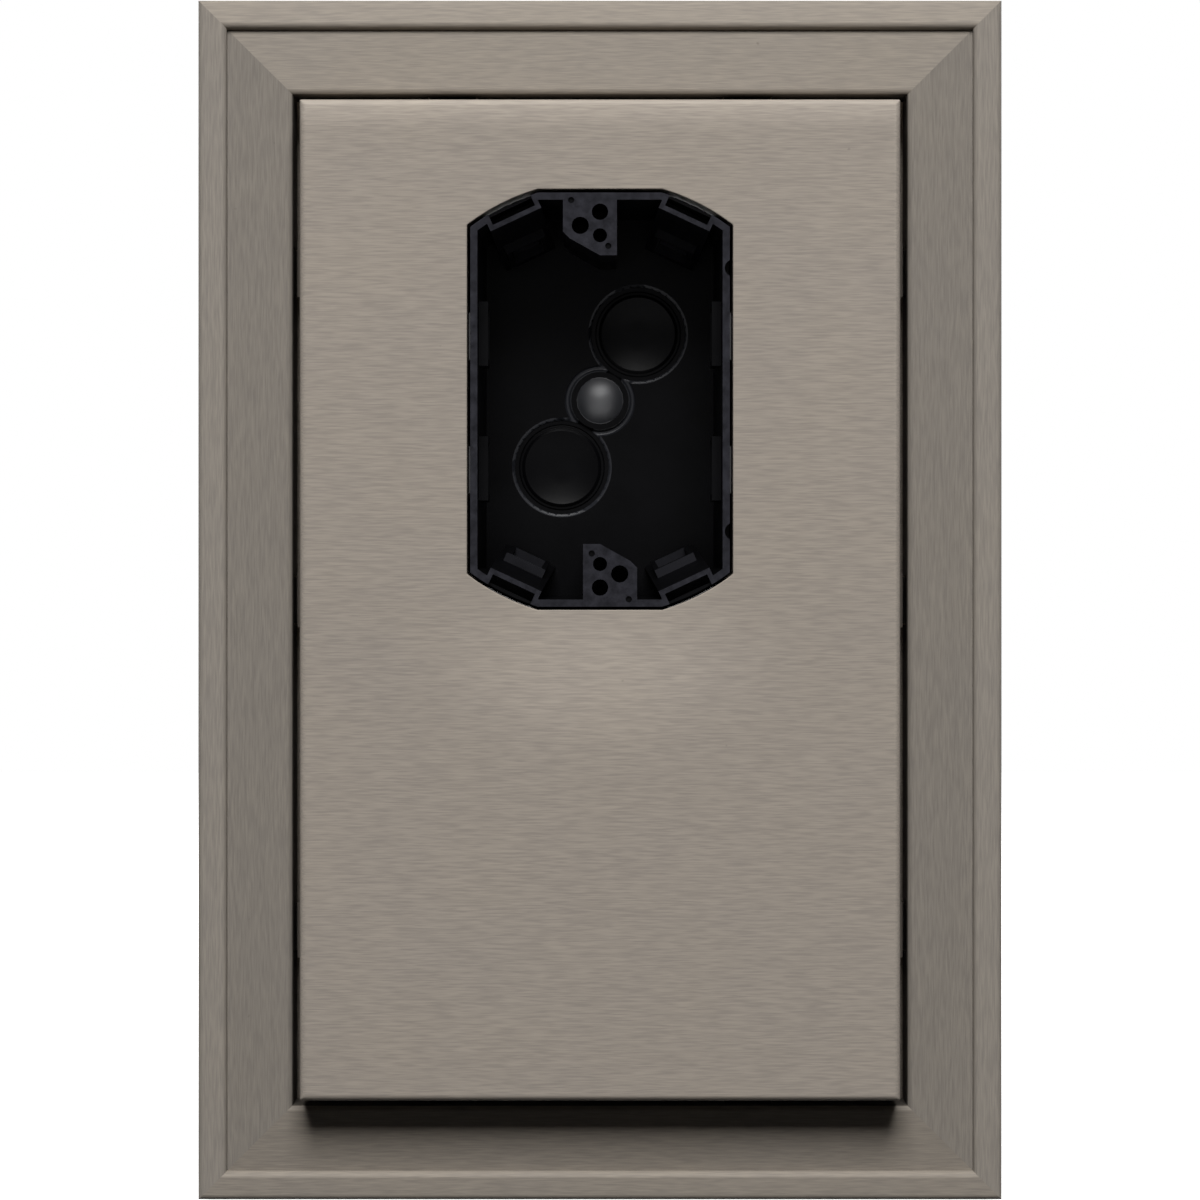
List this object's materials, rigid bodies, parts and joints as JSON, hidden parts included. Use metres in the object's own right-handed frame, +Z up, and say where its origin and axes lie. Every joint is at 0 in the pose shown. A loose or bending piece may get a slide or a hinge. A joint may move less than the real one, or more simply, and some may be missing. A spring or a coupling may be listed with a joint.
{
  "type": "siding mounting block with electrical box",
  "caption": "Siding mounting block: hollow moulded base with a raised panel and nailing flange, sliding trim ring that snaps over it, and an electrical box set into the panel.",
  "frame": {"origin": "on the wall plane at the middle of the panel, where the flange of the electrical box meets the wall", "axes": "+X right, +Z up, +Y into the wall; the front faces -Y"},
  "size_m": [0.2064, 0.0545, 0.308],
  "materials": {
    "clay_moulding": "fine brushed grain, matt",
    "clay_trim": "fine brushed grain, matt",
    "black_moulding": "smooth, half gloss"
  },
  "bodies": {
    "base": {"mounting_base": "clay_moulding", "electrical_box": "black_moulding", "knockout_upper": "black_moulding", "knockout_lower": "black_moulding"},
    "ring": {"trim_ring": "clay_trim"},
    "pawl_left_1": {"snap_pawl_left_1": "clay_trim"},
    "pawl_left_2": {"snap_pawl_left_2": "clay_trim"},
    "pawl_left_3": {"snap_pawl_left_3": "clay_trim"},
    "pawl_right_1": {"snap_pawl_right_1": "clay_trim"},
    "pawl_right_2": {"snap_pawl_right_2": "clay_trim"},
    "pawl_right_3": {"snap_pawl_right_3": "clay_trim"},
    "pawl_top_1": {"snap_pawl_top_1": "clay_trim"},
    "pawl_top_2": {"snap_pawl_top_2": "clay_trim"},
    "pawl_bottom_1": {"snap_pawl_bottom_1": "clay_trim"},
    "pawl_bottom_2": {"snap_pawl_bottom_2": "clay_trim"},
    "latch_right_upper": {"box_latch_right_upper": "black_moulding"},
    "latch_left_upper": {"box_latch_left_upper": "black_moulding"},
    "latch_left_lower": {"box_latch_left_lower": "black_moulding"},
    "latch_right_lower": {"box_latch_right_lower": "black_moulding"},
    "clamp_top_right": {"cable_clamp_top_right": "black_moulding"},
    "clamp_top_left": {"cable_clamp_top_left": "black_moulding"},
    "clamp_bottom_left": {"cable_clamp_bottom_left": "black_moulding"},
    "clamp_bottom_right": {"cable_clamp_bottom_right": "black_moulding"}
  },
  "joints": [
    {"name": "ring_slide", "type": "slide", "parent": "base", "child": "ring", "axis": [0, -1, 0], "range_m": [-0.0032, 0.0127]},
    {"name": "pawl_left_1_flex", "type": "hinge", "parent": "ring", "child": "pawl_left_1", "pos_m": [-0.0796, -0.0179, -0.08467], "axis": [0, 0, 1], "range_deg": [0, 6], "stiffness_Nm_per_rad": 0.05},
    {"name": "pawl_left_2_flex", "type": "hinge", "parent": "ring", "child": "pawl_left_2", "pos_m": [-0.0796, -0.0179, 0], "axis": [0, 0, 1], "range_deg": [0, 6], "stiffness_Nm_per_rad": 0.05},
    {"name": "pawl_left_3_flex", "type": "hinge", "parent": "ring", "child": "pawl_left_3", "pos_m": [-0.0796, -0.0179, 0.08467], "axis": [0, 0, 1], "range_deg": [0, 6], "stiffness_Nm_per_rad": 0.05},
    {"name": "pawl_right_1_flex", "type": "hinge", "parent": "ring", "child": "pawl_right_1", "pos_m": [0.0796, -0.0179, 0.08467], "axis": [0, 0, -1], "range_deg": [0, 6], "stiffness_Nm_per_rad": 0.05},
    {"name": "pawl_right_2_flex", "type": "hinge", "parent": "ring", "child": "pawl_right_2", "pos_m": [0.0796, -0.0179, 0], "axis": [0, 0, -1], "range_deg": [0, 6], "stiffness_Nm_per_rad": 0.05},
    {"name": "pawl_right_3_flex", "type": "hinge", "parent": "ring", "child": "pawl_right_3", "pos_m": [0.0796, -0.0179, -0.08467], "axis": [0, 0, -1], "range_deg": [0, 6], "stiffness_Nm_per_rad": 0.05},
    {"name": "pawl_top_1_flex", "type": "hinge", "parent": "ring", "child": "pawl_top_1", "pos_m": [-0.0381, -0.0179, 0.1304], "axis": [1, 0, 0], "range_deg": [0, 6], "stiffness_Nm_per_rad": 0.05},
    {"name": "pawl_top_2_flex", "type": "hinge", "parent": "ring", "child": "pawl_top_2", "pos_m": [0.0381, -0.0179, 0.1304], "axis": [1, 0, 0], "range_deg": [0, 6], "stiffness_Nm_per_rad": 0.05},
    {"name": "pawl_bottom_1_flex", "type": "hinge", "parent": "ring", "child": "pawl_bottom_1", "pos_m": [0.0381, -0.0179, -0.1304], "axis": [-1, 0, 0], "range_deg": [0, 6], "stiffness_Nm_per_rad": 0.05},
    {"name": "pawl_bottom_2_flex", "type": "hinge", "parent": "ring", "child": "pawl_bottom_2", "pos_m": [-0.0381, -0.0179, -0.1304], "axis": [-1, 0, 0], "range_deg": [0, 6], "stiffness_Nm_per_rad": 0.05},
    {"name": "latch_right_upper_flex", "type": "hinge", "parent": "base", "child": "latch_right_upper", "pos_m": [0.03165, -0.0276, 0.068], "axis": [0, 0, 1], "range_deg": [0, 12], "stiffness_Nm_per_rad": 0.05},
    {"name": "latch_left_upper_flex", "type": "hinge", "parent": "base", "child": "latch_left_upper", "pos_m": [-0.03165, -0.0276, 0.068], "axis": [0, 0, -1], "range_deg": [0, 12], "stiffness_Nm_per_rad": 0.05},
    {"name": "latch_left_lower_flex", "type": "hinge", "parent": "base", "child": "latch_left_lower", "pos_m": [-0.03165, -0.0276, 0.0336], "axis": [0, 0, -1], "range_deg": [0, 12], "stiffness_Nm_per_rad": 0.05},
    {"name": "latch_right_lower_flex", "type": "hinge", "parent": "base", "child": "latch_right_lower", "pos_m": [0.03165, -0.0276, 0.0336], "axis": [0, 0, 1], "range_deg": [0, 12], "stiffness_Nm_per_rad": 0.05},
    {"name": "clamp_top_right_flex", "type": "hinge", "parent": "base", "child": "clamp_top_right", "pos_m": [0.0193, 0.0004, 0.09218], "axis": [0.9063, 0, -0.4226], "range_deg": [0, 25], "stiffness_Nm_per_rad": 0.03},
    {"name": "clamp_top_left_flex", "type": "hinge", "parent": "base", "child": "clamp_top_left", "pos_m": [-0.0193, 0.0004, 0.09218], "axis": [0.9063, 0, 0.4226], "range_deg": [0, 25], "stiffness_Nm_per_rad": 0.03},
    {"name": "clamp_bottom_left_flex", "type": "hinge", "parent": "base", "child": "clamp_bottom_left", "pos_m": [-0.0193, 0.0004, 0.00942], "axis": [-0.9063, 0, 0.4226], "range_deg": [0, 25], "stiffness_Nm_per_rad": 0.03},
    {"name": "clamp_bottom_right_flex", "type": "hinge", "parent": "base", "child": "clamp_bottom_right", "pos_m": [0.0193, 0.0004, 0.00942], "axis": [-0.9063, 0, -0.4226], "range_deg": [0, 25], "stiffness_Nm_per_rad": 0.03}
  ]
}
